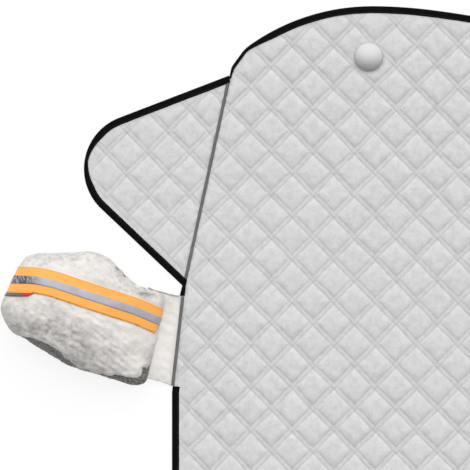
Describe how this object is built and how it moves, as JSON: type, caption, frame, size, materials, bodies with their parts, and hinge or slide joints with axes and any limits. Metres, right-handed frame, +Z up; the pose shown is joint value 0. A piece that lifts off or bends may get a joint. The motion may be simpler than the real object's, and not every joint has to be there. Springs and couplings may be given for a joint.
{
  "type": "windshield frost cover",
  "caption": "Padded windshield cover quilted in diamonds, with triangular door wings, mirror bags with reflective tape, bound edges and magnet buttons.",
  "frame": {"origin": "on the floor under the middle of the cover's bounding box", "axes": "+X to the right of the cover seen from above, +Y towards the roof edge, +Z up out of the quilted face"},
  "size_m": [2.018, 1, 0.0957],
  "materials": {
    "silver_quilt": "satin silver-coated cloth, quilted in diamonds",
    "black_tape": "matt woven tape",
    "grey_piping": "matt folded tape",
    "silver_cloth": "smooth silver-coated cloth, creased",
    "grey_elastic": "gathered elastic hem",
    "orange_tape": "high-visibility woven tape",
    "reflective_stripe": "glass-bead reflective stripe",
    "magnet_metal": "polished"
  },
  "bodies": {
    "root": {"main_panel": "silver_quilt", "wing_panel_left": "silver_quilt", "wing_panel_right": "silver_quilt", "binding_top": "black_tape", "binding_bottom": "black_tape", "binding_short_left": "black_tape", "binding_short_right": "black_tape", "wing_binding_left": "black_tape", "wing_binding_right": "black_tape", "wing_piping_left": "grey_piping", "wing_piping_right": "grey_piping", "sleeve_piping_left": "grey_piping", "sleeve_piping_right": "grey_piping", "mirror_bag_left": "silver_cloth", "mirror_bag_right": "silver_cloth", "sleeve_strip_left": "silver_cloth", "sleeve_strip_right": "silver_cloth", "mirror_hem_left": "grey_elastic", "mirror_hem_right": "grey_elastic", "orange_tape_left": "orange_tape", "orange_tape_right": "orange_tape", "silver_stripe_left": "reflective_stripe", "silver_stripe_right": "reflective_stripe", "magnet_cap_left": "magnet_metal", "magnet_cap_right": "magnet_metal", "magnet_disc_left": "magnet_metal", "magnet_disc_right": "magnet_metal"}
  },
  "joints": []
}
